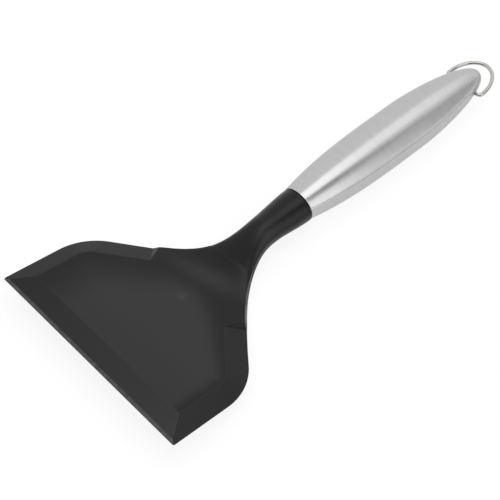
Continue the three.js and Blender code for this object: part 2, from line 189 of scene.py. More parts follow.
neck_root = bevel_end.y + ROOT_MARGIN
waist = mouth - WAIST_FROM_MOUTH
ramp_start = neck_root + RAMP_START
ramp_end = mouth - RAMP_END_FROM_MOUTH
heel_start = neck_root + HEEL_START
heel_end = mouth - HEEL_END_FROM_MOUTH
neck_end = mouth - SEAT_GAP * math.cos(HANDLE_PITCH)
pitch_slope = math.tan(HANDLE_PITCH)
root_half_width = (shoulder.x - (neck_root - SHOULDER_DISTANCE) / math.tan(SHOULDER_ANGLE)
                   + ROOT_FLARE)
root_edge = Vector((root_half_width, neck_root))
along_root = (root_edge - bevel_end).normalized()


def smooth_step(value, start, end):
    """Share of the way between two values, which starts and ends gently."""
    share = np.clip((value - start) / (end - start), 0, 1)
    return share * share * (3 - 2 * share)


def ease_between(position, start, end, first, last, first_slope, last_slope):
    """Cubic curve between two values with given slopes at both ends."""
    length = end - start
    share = np.clip((position - start) / length, 0, 1)
    leave = share * (1 - share) ** 2 * length * first_slope
    arrive = share ** 2 * (share - 1) * length * last_slope
    return first + (last - first) * smooth_step(share, 0, 1) + leave + arrive


def soft_min(a, b, softness):
    """The lower of two heights, with the ridge between them rounded off."""
    overlap = np.maximum(softness - np.abs(a - b), 0)
    return np.minimum(a, b) - overlap ** 2 / (4 * softness)


def front_height(distance):
    """Height of the blade's upper side as the lip and the front bevel leave it."""
    lip_slope = (LIP_THICKNESS - FRONT_EDGE_THICKNESS) / LIP_DEPTH
    bevel_slope = (BLADE_THICKNESS - LIP_THICKNESS) / (FRONT_BEVEL - LIP_DEPTH)
    lip = FRONT_EDGE_THICKNESS + lip_slope * distance
    bevel = LIP_THICKNESS + bevel_slope * (distance - LIP_DEPTH)
    return soft_min(soft_min(lip, bevel, LIP_SOFTNESS), BLADE_THICKNESS, FRONT_SOFTNESS)


def gate_dish(x, distance):
    """Depth of the shallow dish where the mould's gate was trimmed off, on the midline."""
    share = np.minimum(np.hypot(x, distance - GATE_DISTANCE) / GATE_RADIUS, 1)
    return GATE_DEPTH * (1 - share ** 2) ** 2


# Columns of the head's surface run from one edge over the bevel's ridge to the midline and on.
BEVEL_COLUMNS = 12
PLATEAU_COLUMNS = 24


def crowded(count):
    """Shares from 0 to 1 that lie closer together at both ends."""
    return 0.5 - 0.5 * np.cos(np.pi * np.arange(count + 1) / count)


bevel_shares = crowded(BEVEL_COLUMNS)
plateau_shares = crowded(PLATEAU_COLUMNS)[1:]
half_columns = BEVEL_COLUMNS + PLATEAU_COLUMNS
column_angles = np.linspace(np.pi / 2, 0, half_columns + 1)
bevel_drop = BLADE_THICKNESS - SIDE_EDGE_THICKNESS


def plan_row(edge, ridge):
    """Half a row in plan: straight from the edge to the ridge, then square to the midline."""
    edge, ridge = np.array(edge), np.array(ridge)
    bevel = edge + (ridge - edge) * bevel_shares[:, None]
    plateau = np.column_stack([ridge[0] * (1 - plateau_shares), np.full(PLATEAU_COLUMNS, ridge[1])])
    return np.vstack([bevel, plateau])


def blade_row(edge, ridge, reach):
    """Upper and lower points of half a blade row. Reach is the share of the bevel it crosses."""
    plan = plan_row(edge, ridge)
    past_ridge = (np.array(ridge)[0] - plan[BEVEL_COLUMNS + 1:, 0]) / SIDE_BEVEL
    climbed = np.concatenate([reach * bevel_shares, reach + past_ridge])
    side = SIDE_EDGE_THICKNESS + bevel_drop * climbed
    height = soft_min(side, front_height(plan[:, 1]), RIDGE_SOFTNESS) - gate_dish(*plan.T)
    upper = np.column_stack([plan[:, 0], -plan[:, 1], height])
    lower = np.column_stack([plan[:, 0], -plan[:, 1], np.zeros(len(plan))])
    return upper, lower


def tip_inset(distance):
    """How far the rounded front tip draws the blade's edge in."""
    missing = max(TIP_RADIUS - distance, 0)
    return TIP_RADIUS - math.sqrt(TIP_RADIUS ** 2 - missing ** 2)


FRONT_ROWS = 36
LEAST_REACH = 0.05
SIDE_ROWS = 14
SHOULDER_ROWS = 22
STEP_ROWS = 3
STEP_ROW_SHIFT = 0.0002
ROOT_ROWS = 6
NECK_ROWS = 64
ROUND_ROWS = 4

head_rows = []

# Front bevel: the ridge column follows the mitre between the front and the side bevel.
for share in crowded(FRONT_ROWS)[:-1]:
    distance = FRONT_BEVEL * share
    side_x = tip.x + distance * along_side.x / along_side.y
    reach = max((front_height(distance) - SIDE_EDGE_THICKNESS) / bevel_drop, LEAST_REACH)
    edge = (side_x - tip_inset(distance), distance)
    head_rows.append(blade_row(edge, (side_x - reach * SIDE_BEVEL, distance), reach))

lip_row_count = sum(-row[0][-1][1] < LIP_DEPTH for row in head_rows)

# Sides, rounded corners and shoulders up to the end of the bevel, where the underside flares out.
out_of_shoulder = np.array((along_shoulder.y, along_shoulder.x, 0))
foot_flare = FOOT_FLARE * out_of_shoulder
mitre_edge = tip + along_side * FRONT_BEVEL
mitre_ridge = mitre_edge + Vector((-SIDE_BEVEL, 0))
for i in range(SIDE_ROWS):
    share = (i / SIDE_ROWS) ** 2
    edge = mitre_edge.lerp(edge_arc[0], share)
    head_rows.append(blade_row(edge, mitre_ridge.lerp(ridge_arc[0], share), 1))
for edge, ridge in zip(edge_arc, ridge_arc):
    head_rows.append(blade_row(edge, ridge, 1))
for i in range(1, SHOULDER_ROWS + 1):
    share = math.sin(math.pi / 2 * i / SHOULDER_ROWS)
    edge = edge_arc[-1].lerp(bevel_end, share)
    upper, lower = blade_row(edge, ridge_arc[-1].lerp(ridge_end, share), 1)
    lower[0] += foot_flare * share ** 2
    head_rows.append((upper, lower))

bevel_row_count = len(head_rows)

# Step at the end of the bevel: it climbs to the full thickness at an even slope, and its upper edge is
# drawn in.
step_foot, step_foot_lower = head_rows[-1]
step_rise = np.maximum(BLADE_THICKNESS - step_foot[:, 2], 0)
step_inset = np.outer(STEP_EDGE_INSET * step_rise / bevel_drop, out_of_shoulder)
for i in range(1, STEP_ROWS + 1):
    share = i / STEP_ROWS
    run = (STEP_SLOPE * step_rise * share)[:, None] * np.array((along_root.x, -along_root.y, 0))
    run = run - np.array((0, STEP_ROW_SHIFT * share, 0))
    upper = step_foot + run - step_inset * share
    upper[:, 2] += step_rise * share
    lower = step_foot_lower + run
    lower[0] -= foot_flare * share
    head_rows.append((upper, lower))

# Neck: an oval section with a narrow flat at each side, which leans over towards the handle's axis.
root_ridge = Vector((root_half_width - (bevel_end.x - ridge_end.x), neck_root))
root_spread = plan_row(root_edge, root_ridge)[:, 0] / root_half_width


def neck_half_width(distance):
    before = ease_between(distance, neck_root, waist, root_half_width, WAIST_WIDTH / 2,
                          -1 / math.tan(ROOT_ANGLE), 0)
    after = ease_between(distance, waist, mouth, WAIST_WIDTH / 2, MOUTH_WIDTH / 2, 0, 0)
    return before if distance < waist else after


def neck_half_height(distance):
    return ease_between(distance, waist, mouth, WAIST_HEIGHT / 2, MOUTH_HEIGHT / 2, 0, 0)


def neck_axis(distance):
    return mouth_rise - NECK_DROP + (distance - mouth) * pitch_slope


def neck_top(distance):
    crest = neck_axis(ramp_end) + neck_half_height(ramp_end)
    ramp = ease_between(distance, ramp_start, ramp_end, BLADE_THICKNESS, crest, 0, pitch_slope)
    past = np.clip(distance - neck_root - RAMP_FILLET_START, 0, RAMP_FILLET_RADIUS)
    fillet = BLADE_THICKNESS + RAMP_FILLET_RADIUS - math.sqrt(RAMP_FILLET_RADIUS ** 2 - past ** 2)
    ramp = max(ramp, fillet) if distance < heel_start else ramp
    return ramp if distance < ramp_end else neck_axis(distance) + neck_half_height(distance)


def neck_bottom(distance):
    foot = neck_axis(heel_end) - neck_half_height(heel_end)
    heel = ease_between(distance, heel_start, heel_end, 0, foot, 0, pitch_slope)
    return heel if distance < heel_end else neck_axis(distance) - neck_half_height(distance)


def neck_row(distance, inset):
    """Upper and lower points of half a neck section, made smaller all round by the inset."""
    middle = (neck_top(distance) + neck_bottom(distance)) / 2
    half_height = (neck_top(distance) - neck_bottom(distance)) / 2 - inset
    half_width = neck_half_width(distance) - inset
    swell = smooth_step(distance, neck_root, waist)
    side_flat = (BLADE_THICKNESS + (NECK_SIDE_FLAT - BLADE_THICKNESS) * swell) / 2
    wall = min(half_height, side_flat)
    spread = root_spread + (np.sin(column_angles) - root_spread) * swell
    crown = wall + (half_height - wall) * np.sqrt(1 - np.minimum(spread, 1) ** 2)
    upper_half_width = half_width - ROOT_EDGE_INSET * (1 - swell)
    lean = HANDLE_PITCH * smooth_step(distance, heel_start, mouth)
    back, up = crown * math.sin(lean), crown * math.cos(lean)
    upper = np.column_stack([upper_half_width * spread, back - distance, middle + up])
    lower = np.column_stack([half_width * spread, -back - distance, middle - up])
    return upper, lower


# Root of the neck, from the top of the step to the first oval section.
step_head, step_head_lower = head_rows[-1]
root_upper, root_lower = neck_row(neck_root, 0)
for i in range(1, ROOT_ROWS):
    share = i / ROOT_ROWS
    upper = step_head + (root_upper - step_head) * share
    head_rows.append((upper, step_head_lower + (root_lower - step_head_lower) * share))
for i in range(NECK_ROWS + 1):
    distance = neck_root + (neck_end - NECK_END_ROUND - neck_root) * i / NECK_ROWS
    head_rows.append(neck_row(distance, 0))
for i in range(1, ROUND_ROWS + 1):
    angle = math.pi / 2 * i / ROUND_ROWS
    distance = neck_end - NECK_END_ROUND * (1 - math.sin(angle))
    head_rows.append(neck_row(distance, NECK_END_ROUND * (1 - math.cos(angle))))


def collar_row(distance, inset):
    """Oval of the collar in the handle's mouth, at a distance along the handle's axis."""
    smaller = SHELL_THICKNESS + COLLAR_CLEARANCE + inset
    across = (MOUTH_WIDTH / 2 - smaller) * np.sin(column_angles)
    wall = NECK_SIDE_FLAT / 2
    crown = wall + (MOUTH_HEIGHT / 2 - smaller - wall) * np.cos(column_angles)
    along = np.full(half_columns + 1, -distance)
    turn = np.array(handle_in_blade.to_3x3())
    place = np.array(handle_in_blade.translation)
    return [np.column_stack([across, along, z]) @ turn.T + place for z in (crown, -crown)]


head_rows.append(collar_row(-SEAT_GAP, 0))
head_rows.append(collar_row(COLLAR_LENGTH - EDGE_ROUND, 0))
head_rows.append(collar_row(COLLAR_LENGTH, EDGE_ROUND))


def whole_row(half_row):
    """A row from edge to edge, mirrored about the midline."""
    return np.vstack([half_row, half_row[-2::-1] * (-1, 1, 1)])


def closed_strip_mesh(name, rows):
    """Mesh of a body between rows of upper and lower points, closed all round."""
    upper = np.array([whole_row(row[0]) for row in rows])
    lower = np.array([whole_row(row[1]) for row in rows])
    row_count, column_count = upper.shape[:2]
    top = np.arange(row_count * column_count).reshape(row_count, column_count)
    bottom = top + top.size
    faces = []
    for i in range(row_count - 1):
        for j in range(column_count - 1):
            faces.append((top[i, j], top[i, j + 1], top[i + 1, j + 1], top[i + 1, j]))
            faces.append((bottom[i, j], bottom[i + 1, j], bottom[i + 1, j + 1], bottom[i, j + 1]))
        faces.append((top[i, 0], top[i + 1, 0], bottom[i + 1, 0], bottom[i, 0]))
        faces.append((top[i, -1], bottom[i, -1], bottom[i + 1, -1], top[i + 1, -1]))
    for j in range(column_count - 1):
        faces.append((top[0, j], bottom[0, j], bottom[0, j + 1], top[0, j + 1]))
        faces.append((top[-1, j], top[-1, j + 1], bottom[-1, j + 1], bottom[-1, j]))
    mesh = bpy.data.meshes.new(name)
    corners = np.vstack([upper.reshape(-1, 3), lower.reshape(-1, 3)])
    mesh.from_pydata(corners.tolist(), [], [tuple(map(int, face)) for face in faces])
    return mesh


def flat_painted_sheen(corners):
    """Painted sheen on each corner of the flat, fading towards the ridges and up to the neck."""
    distance = -corners[:, 1]
    plan = np.column_stack([np.abs(corners[:, 0]), distance]) - np.array(ridge_corner())
    from_side = plan @ np.array(inwards(along_side))
    from_shoulder = plan @ np.array(inwards(along_shoulder))
    to_right = smooth_step(corners[:, 0], -shoulder.x, shoulder.x)
    rim = LEFT_SHEEN_RIM + (RIGHT_SHEEN_RIM - LEFT_SHEEN_RIM) * to_right
    inside = smooth_step(np.minimum(from_side, from_shoulder), 0, rim)
    from_front = smooth_step(distance, FRONT_BEVEL, FRONT_BEVEL + FLAT_FRONT_REACH)
    behind_front = FLAT_FRONT_SHARE + (1 - FLAT_FRONT_SHARE) * from_front
    before_neck = 1 - smooth_step(distance, GATE_DISTANCE, neck_root)
    return FLAT_SHEEN * inside * behind_front * before_neck


def ramp_painted_highlight(corners):
    """A painted highlight band that runs at a slant over the foot of the ramp."""
    from_band = -corners[:, 1] - neck_root - HIGHLIGHT_BAND_START + HIGHLIGHT_BAND_SLANT * corners[:, 0]
    sideways = corners[:, 0] / HIGHLIGHT_BAND_WIDTH
    return RAMP_HIGHLIGHT * np.exp(-(from_band / HIGHLIGHT_BAND_REACH) ** 2 - sideways ** 2)


def neck_painted_highlight(corners):
    """A painted highlight on one side of the neck's crest, where the neck bends."""
    along = (-corners[:, 1] - mouth + NECK_HIGHLIGHT_FROM_MOUTH) / NECK_HIGHLIGHT_REACH
    sideways = (corners[:, 0] - NECK_HIGHLIGHT_OFFSET) / NECK_HIGHLIGHT_WIDTH
    return NECK_HIGHLIGHT * np.exp(-along ** 2 - sideways ** 2)


def head_painted_light(corners, rows, columns):
    """Painted sheen and painted highlights of the whole head: its flat, ramp, neck, gate dish and front
    bevel.
    """
    painted_light = np.maximum(flat_painted_sheen(corners), ramp_painted_highlight(corners))
    painted_light = np.maximum(painted_light, neck_painted_highlight(corners))
    # The gate's dish gets a painted highlight, brightest at its middle.
    gate = gate_dish(corners[:, 0], -corners[:, 1]) / GATE_DEPTH
    painted_light += (1 - painted_light) * gate
    upper = painted_light[:rows * columns].reshape(rows, columns)
    across = corners[:rows * columns, 0].reshape(rows, columns)[:FRONT_ROWS] / BLADE_WIDTH
    front_right, front_left = FRONT_BEVEL_SHEEN
    front = front_right + (front_left - front_right) * (0.5 - across)
    upper[:FRONT_ROWS, BEVEL_COLUMNS:-BEVEL_COLUMNS] = front[:, BEVEL_COLUMNS:-BEVEL_COLUMNS]
    return painted_light


def edge_highlight_share(rows, columns):
    """How strong the painted highlight is at each corner of the upper side: the lip most, and some ridges
    of the bevels.
    """
    painted_edge_highlight = np.zeros((rows, columns))
    left_ridge = columns - 1 - BEVEL_COLUMNS
    painted_edge_highlight[:bevel_row_count, left_ridge - 1:left_ridge + 2] = LEFT_RIDGE_HIGHLIGHT
    painted_edge_highlight[FRONT_ROWS - 2:FRONT_ROWS + 2, BEVEL_COLUMNS:-BEVEL_COLUMNS] = FRONT_RIDGE_HIGHLIGHT
    painted_edge_highlight[:lip_row_count, BEVEL_COLUMNS:-BEVEL_COLUMNS] = 1
    return painted_edge_highlight


def set_shares(mesh, name, shares):
    """Stores a share for each corner of a mesh."""
    attribute = mesh.attributes.new(name, "FLOAT", "POINT")
    attribute.data.foreach_set("value", shares.astype(np.float32))


def add_piece(name, mesh, place):
    """Puts a mesh made in its own frame into the part, with its place in its vertices."""
    mesh.transform(place)
    mesh.update()
    piece = bpy.data.objects.new(name, mesh)
    bpy.context.scene.collection.objects.link(piece)
    return piece


def settled_mesh(piece):
    """The piece's mesh with its modifiers applied, or its curve made into a mesh."""
    settled = piece.evaluated_get(bpy.context.evaluated_depsgraph_get())
    return bpy.data.meshes.new_from_object(settled)


def settle(piece, sharp_angle):
    """Applies the piece's modifiers and shades it smooth up to an angle between its faces."""
    mesh = settled_mesh(piece)
    piece.modifiers.clear()
    piece.data = mesh
    mesh.shade_smooth()
    mesh.set_sharp_from_angle(angle=sharp_angle)


ROUND_SEGMENTS = 3


def round_edges(piece, width, angle):
    """Rounds each edge whose two faces meet at more than an angle."""
    rounding = piece.modifiers.new("round_edges", "BEVEL")
    rounding.width = width
    rounding.segments = ROUND_SEGMENTS
    rounding.limit_method = "ANGLE"
    rounding.angle_limit = angle


head_mesh = closed_strip_mesh("turner_head", head_rows)
head_corners = np.array([vertex.co for vertex in head_mesh.vertices])
head_grid = (len(head_rows), 2 * half_columns + 1)
# Shares of painted light stored in the head's corners: sheen and highlights over the head, and the
# highlight along the lip and ridges.
painted_edge_highlight = edge_highlight_share(*head_grid)
set_shares(head_mesh, "painted_light_share", head_painted_light(head_corners, *head_grid))
set_shares(head_mesh, "painted_edge_highlight", np.concatenate([painted_edge_highlight.ravel(), np.zeros(painted_edge_highlight.size)]))
head = add_piece("turner_head", head_mesh, blade_frame)
round_edges(head, EDGE_ROUND, HEAD_EDGE_ANGLE)
settle(head, HEAD_SMOOTH_ANGLE)
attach(head, "turner")
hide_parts("nylon_head")


GRAIN_DETAIL = 3
MOTTLE_DETAIL = 4


def finish_grain_group():
    """Fine grain and slow unevenness of a finished surface, stretched the way it was worked."""
    group = bpy.data.node_groups.new("finish_grain", "ShaderNodeTree")
    sockets = group.interface
    sockets.new_socket("Stretch", in_out="INPUT", socket_type="NodeSocketVector")
    sockets.new_socket("Grain Scale", in_out="INPUT", socket_type="NodeSocketFloat")
    sockets.new_socket("Mottle Scale", in_out="INPUT", socket_type="NodeSocketFloat")
    sockets.new_socket("Grain", in_out="OUTPUT", socket_type="NodeSocketFloat")
    sockets.new_socket("Mottle", in_out="OUTPUT", socket_type="NodeSocketFloat")
    given = group.nodes.new("NodeGroupInput")
    made = group.nodes.new("NodeGroupOutput")
    place = group.nodes.new("ShaderNodeTexCoord")
    stretch = group.nodes.new("ShaderNodeVectorMath")
    stretch.operation = "MULTIPLY"
    group.links.new(place.outputs["Object"], stretch.inputs[0])
    group.links.new(given.outputs["Stretch"], stretch.inputs[1])
    for output, detail in (("Grain", GRAIN_DETAIL), ("Mottle", MOTTLE_DETAIL)):
        noise = group.nodes.new("ShaderNodeTexNoise")
        noise.inputs["Detail"].default_value = detail
        group.links.new(stretch.outputs["Vector"], noise.inputs["Vector"])
        group.links.new(given.outputs[output + " Scale"], noise.inputs["Scale"])
        group.links.new(noise.outputs["Fac"], made.inputs[output])
    return group


finish_grain = finish_grain_group()


EVEN = (1, 1, 1)


def place_grain(tree, stretch, grain_scale, mottle_scale):
    """Places the grain group in a material. A larger stretch makes the grain shorter that way."""
    grain = tree.nodes.new("ShaderNodeGroup")
    grain.node_tree = finish_grain
    grain.inputs["Stretch"].default_value = stretch
    grain.inputs["Grain Scale"].default_value = grain_scale
    grain.inputs["Mottle Scale"].default_value = mottle_scale
    return grain


def grained_material(name, stretch, grain_scale, mottle_scale):
    """A material with the grain group placed in it, and its shader."""
    material = bpy.data.materials.new(name)
    material.use_nodes = True
    tree = material.node_tree
    grain = place_grain(tree, stretch, grain_scale, mottle_scale)
    return material, tree, grain, tree.nodes["Principled BSDF"]


def own_share(tree, name):
    """A share that is stored in the mesh's own corners."""
    share = tree.nodes.new("ShaderNodeAttribute")
    share.attribute_name = name
    return share.outputs["Fac"]


def mix_colour(tree, mask, first, last):
    """Colour between two, each a plain colour or the output of another node."""
    mix = tree.nodes.new("ShaderNodeMix")
    mix.data_type = "RGBA"
    tree.links.new(mask, mix.inputs["Factor"])
    for socket, colour in (("A", first), ("B", last)):
        if isinstance(colour, tuple):
            mix.inputs[socket].default_value = (*colour, 1)
        else:
            tree.links.new(colour, mix.inputs[socket])
    return mix.outputs["Result"]


def vary_colour(tree, mask, shader, first, last):
    """Gives a shader a base colour between two."""
    tree.links.new(mix_colour(tree, mask, first, last), shader.inputs["Base Color"])


# Nearly all of a noise lies between these two.
NOISE_LOW = 0.3
NOISE_HIGH = 0.7


def vary_value(tree, mask, socket, first, last):
    """Gives a socket a value between two, by a noise."""
    spread = tree.nodes.new("ShaderNodeMapRange")
    spread.inputs["From Min"].default_value = NOISE_LOW
    spread.inputs["From Max"].default_value = NOISE_HIGH
    spread.inputs["To Min"].default_value = first
    spread.inputs["To Max"].default_value = last
    tree.links.new(mask, spread.inputs["Value"])
    tree.links.new(spread.outputs["Result"], socket)


def add_bump(tree, height, shader, depth):
    """Gives a shader a fine relief of a depth."""
    bump = tree.nodes.new("ShaderNodeBump")
    bump.inputs["Strength"].default_value = 1
    bump.inputs["Distance"].default_value = depth
    tree.links.new(height, bump.inputs["Height"])
    tree.links.new(bump.outputs["Normal"], shader.inputs["Normal"])


def give_material(piece, material):
    piece.data.materials.clear()
    piece.data.materials.append(material)


NYLON_DARK = (0.0015, 0.0015, 0.0016)
NYLON_LIGHT = (0.0035, 0.0035, 0.0036)
# Grey of the painted sheen and highlights on the head.
NYLON_PAINTED_LIGHT = (0.03, 0.03, 0.03)
# Lighter grey of the painted highlight along the lip and ridges.
NYLON_EDGE_HIGHLIGHT = (0.075, 0.075, 0.075)
NYLON_GRAIN_DEPTH = 0.000004
NYLON_GRAIN_SCALE = 4000
NYLON_MOTTLE_SCALE = 60
NYLON_ROUGHNESS = (0.29, 0.35)
NYLON_SPECULAR = 0.25
NYLON_SHEEN = 0.1
NYLON_SHEEN_ROUGHNESS = 0.35
# Scale and spread of the noise that breaks up the painted highlight along the lip and ridges.
HIGHLIGHT_BREAKUP_SCALE = 350
HIGHLIGHT_BREAKUP_SHARE = (0.4, 1)

nylon, tree, grain, shader = grained_material(
    "black_nylon", EVEN, NYLON_GRAIN_SCALE, NYLON_MOTTLE_SCALE)
# A noise that breaks up the painted highlight along the lip and ridges.
highlight_breakup = place_grain(tree, EVEN, NYLON_GRAIN_SCALE, HIGHLIGHT_BREAKUP_SCALE)
colour = mix_colour(tree, grain.outputs["Mottle"], NYLON_DARK, NYLON_LIGHT)
# Painted sheen and highlights lighten the black towards a grey, by the stored share.
colour = mix_colour(tree, own_share(tree, "painted_light_share"), colour, NYLON_PAINTED_LIGHT)
# Painted highlight along the lip and some ridges, broken up by that noise.
edge_highlight_amount = tree.nodes.new("ShaderNodeMath")
edge_highlight_amount.operation = "MULTIPLY"
tree.links.new(own_share(tree, "painted_edge_highlight"), edge_highlight_amount.inputs[0])
vary_value(tree, highlight_breakup.outputs["Mottle"], edge_highlight_amount.inputs[1], *HIGHLIGHT_BREAKUP_SHARE)
colour = mix_colour(tree, edge_highlight_amount.outputs["Value"], colour, NYLON_EDGE_HIGHLIGHT)
tree.links.new(colour, shader.inputs["Base Color"])
vary_value(tree, grain.outputs["Mottle"], shader.inputs["Roughness"], *NYLON_ROUGHNESS)
add_bump(tree, grain.outputs["Grain"], shader, NYLON_GRAIN_DEPTH)
shader.inputs["Specular IOR Level"].default_value = NYLON_SPECULAR
shader.inputs["Sheen Weight"].default_value = NYLON_SHEEN
shader.inputs["Sheen Roughness"].default_value = NYLON_SHEEN_ROUGHNESS
give_material(head, nylon)

# Handle shells
# The hollow grip is pressed from stainless sheet in two parts, an upper and a deeper lower one, which
# are welded along their edges and brushed to a satin finish. The lower one is pierced for the loop.

HANDLE_LENGTH = 0.1533
BELLY_DISTANCE = 0.0898
BELLY_WIDTH = 0.0327
BELLY_HEIGHT = 0.0278
MOUTH_FLARE = 0.196
TAIL_LENGTH_POWER = 1.54
TAIL_ROUND_POWER = 2.3
WELD_HEIGHT = 0.0044
TAIL_WELD_HEIGHT = 0.0015
TAIL_WELD_DROP = (0.124, 0.146)
WELD_GAP = 0.00012
RIM_ROUND = 0.00012
RIM_EDGE_ANGLE = math.radians(60)
SHELL_SMOOTH_ANGLE = math.radians(30)
WIRE_DIAMETER = 0.0024
HOLE_CLEARANCE = 0.0003
GRIP_ROWS = 44
TAIL_ROWS = 40
END_ROWS = 24
SHELL_COLUMNS = 96
ABOVE_WELD = 1
BELOW_WELD = -1
LEAST_HEIGHT = 1e-9
MERGE_DISTANCE = 1e-6
PUNCH_SIDES = 48

tail_length = HANDLE_LENGTH - BELLY_DISTANCE


def grip_half(distance, at_mouth, at_belly):
    """Half the grip's width or height at a distance from the mouth."""
    flare = MOUTH_FLARE * at_belly / BELLY_WIDTH
    front = ease_between(distance, 0, BELLY_DISTANCE, at_mouth / 2, at_belly / 2, flare, 0)
    share = np.clip((distance - BELLY_DISTANCE) / tail_length, 0, 1)
    tail = at_belly / 2 * (1 - share ** TAIL_LENGTH_POWER) ** (1 / TAIL_ROUND_POWER)
    return np.where(distance < BELLY_DISTANCE, front, tail)


def shell_mesh(name, side):
    """Outer skin of one part of the grip, from weld edge to weld edge. The lower one closes the end."""
    end_height = TAIL_WELD_HEIGHT + side * WELD_GAP / 2
    edge_share = (2 * end_height / BELLY_HEIGHT) ** TAIL_ROUND_POWER
    edge_end = BELLY_DISTANCE + tail_length * (1 - edge_share) ** (1 / TAIL_LENGTH_POWER)
    distances = list(BELLY_DISTANCE * np.arange(GRIP_ROWS) / GRIP_ROWS)
    quarter = np.sin(np.pi / 2 * np.arange(TAIL_ROWS + 1) / TAIL_ROWS)
    distances += list(BELLY_DISTANCE + (edge_end - BELLY_DISTANCE) * quarter)
    if side == BELOW_WELD:
        quarter = np.sin(np.pi / 2 * np.arange(1, END_ROWS + 1) / END_ROWS)
        distances += list(edge_end + (HANDLE_LENGTH - edge_end) * quarter)
    distances = np.array(distances)
    half_width = grip_half(distances, MOUTH_WIDTH, BELLY_WIDTH)
    half_height = grip_half(distances, MOUTH_HEIGHT, BELLY_HEIGHT)
    drop = smooth_step(distances, *TAIL_WELD_DROP)
    edge_height = WELD_HEIGHT + (TAIL_WELD_HEIGHT - WELD_HEIGHT) * drop + side * WELD_GAP / 2
    edge_angle = np.arcsin(np.minimum(edge_height / np.maximum(half_height, LEAST_HEIGHT), 1))
    span = side * np.pi - 2 * edge_angle
    shares = np.arange(SHELL_COLUMNS + 1) / SHELL_COLUMNS
    angles = edge_angle[:, None] + span[:, None] * shares
    x = half_width[:, None] * np.cos(angles)
    z = half_height[:, None] * np.sin(angles)
    y = np.repeat(-distances[:, None], SHELL_COLUMNS + 1, axis=1)
    corners = np.stack([x, y, z], axis=-1).reshape(-1, 3)
    index = np.arange(len(corners)).reshape(len(distances), SHELL_COLUMNS + 1)
    faces = []
    for i in range(len(distances) - 1):
        for j in range(SHELL_COLUMNS):
            face = (index[i, j], index[i + 1, j], index[i + 1, j + 1], index[i, j + 1])
            faces.append(tuple(map(int, face if side == BELOW_WELD else face[::-1])))
    mesh = bpy.data.meshes.new(name)
    mesh.from_pydata(corners.tolist(), [], faces)
    return mesh


def make_shell(name, side):
    """One part of the grip, given the sheet's thickness inwards and rounded rims."""
    shell = add_piece(name, shell_mesh(name, side), handle_frame)
    weld = shell.modifiers.new("close_end", "WELD")
    weld.merge_threshold = MERGE_DISTANCE
    wall = shell.modifiers.new("sheet", "SOLIDIFY")
    wall.thickness = SHELL_THICKNESS
    wall.offset = -1
    round_edges(shell, RIM_ROUND, RIM_EDGE_ANGLE)
    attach(shell, "turner")
    return shell


upper_shell = make_shell("grip_upper", ABOVE_WELD)
lower_shell = make_shell("grip_lower", BELOW_WELD)
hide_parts("handle_upper_shell")
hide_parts("handle_lower_shell")
settle(upper_shell, SHELL_SMOOTH_ANGLE)

# Holes for the loop, pierced through both sides of the lower part.
hole_radius = WIRE_DIAMETER / 2 + HOLE_CLEARANCE
bpy.ops.mesh.primitive_cylinder_add(vertices=PUNCH_SIDES, radius=hole_radius, depth=2 * BELLY_WIDTH)
punch = bpy.context.object
punch.matrix_world = loop_frame @ Matrix.Rotation(math.pi / 2, 4, "Y")
piercing = lower_shell.modifiers.new("loop_holes", "BOOLEAN")
piercing.operation = "DIFFERENCE"
piercing.solver = "EXACT"
piercing.object = punch
settle(lower_shell, SHELL_SMOOTH_ANGLE)
bpy.data.objects.remove(punch)

STEEL_DARK = (0.47, 0.47, 0.47)
STEEL_LIGHT = (0.55, 0.55, 0.55)
STEEL_EDGE_TINT = (0.85, 0.85, 0.85, 1)
STEEL_STRETCH = (0.25, 1, 0.25)
STEEL_GRAIN_SCALE = 1800
STEEL_MOTTLE_SCALE = 350
STEEL_GRAIN_DEPTH = 0.000003
STEEL_ROUGHNESS = (0.28, 0.305)
BRUSHING = 0.7
BRUSHING_TURN = 0.25

steel, tree, grain, shader = grained_material(
    "brushed_steel", STEEL_STRETCH, STEEL_GRAIN_SCALE, STEEL_MOTTLE_SCALE)
vary_colour(tree, grain.outputs["Mottle"], shader, STEEL_DARK, STEEL_LIGHT)
vary_value(tree, grain.outputs["Mottle"], shader.inputs["Roughness"], *STEEL_ROUGHNESS)
add_bump(tree, grain.outputs["Grain"], shader, STEEL_GRAIN_DEPTH)
shader.inputs["Metallic"].default_value = 1
shader.inputs["Specular Tint"].default_value = STEEL_EDGE_TINT
shader.inputs["Anisotropic"].default_value = BRUSHING
shader.inputs["Anisotropic Rotation"].default_value = BRUSHING_TURN
round_grip = tree.nodes.new("ShaderNodeTangent")
round_grip.direction_type = "RADIAL"
round_grip.axis = "Y"
tree.links.new(round_grip.outputs["Tangent"], shader.inputs["Tangent"])
give_material(upper_shell, steel)
give_material(lower_shell, steel)

# Hanging loop
# Polished stainless wire bent to half an oval. Its two ends are turned in and sprung into the holes of
# the lower shell, so the loop swings about them.

LOOP_WIDTH = 0.0264
LOOP_REACH = 0.0213
LOOP_BEND_RADIUS = 0.0024
LOOP_LIFT = math.radians(6)
WIRE_END_INSIDE = 0.002
WIRE_STEPS = 20
WIRE_ROUND_STEPS = 8
WIRE_SMOOTH_ANGLE = math.radians(40)

# A curve's handles at this share of the radius make a quarter of a circle.
QUARTER_PULL = 0.5523

pivot_half_width = float(grip_half(np.array(PIVOT_FROM_MOUTH), MOUTH_WIDTH, BELLY_WIDTH))
wire_half = LOOP_WIDTH / 2
wire_inner = pivot_half_width - SHELL_THICKNESS - WIRE_END_INSIDE
bend_start = wire_half - LOOP_BEND_RADIUS
bend_pull = QUARTER_PULL * LOOP_BEND_RADIUS
side_pull = QUARTER_PULL * (LOOP_REACH - LOOP_BEND_RADIUS)
crown_pull = QUARTER_PULL * wire_half

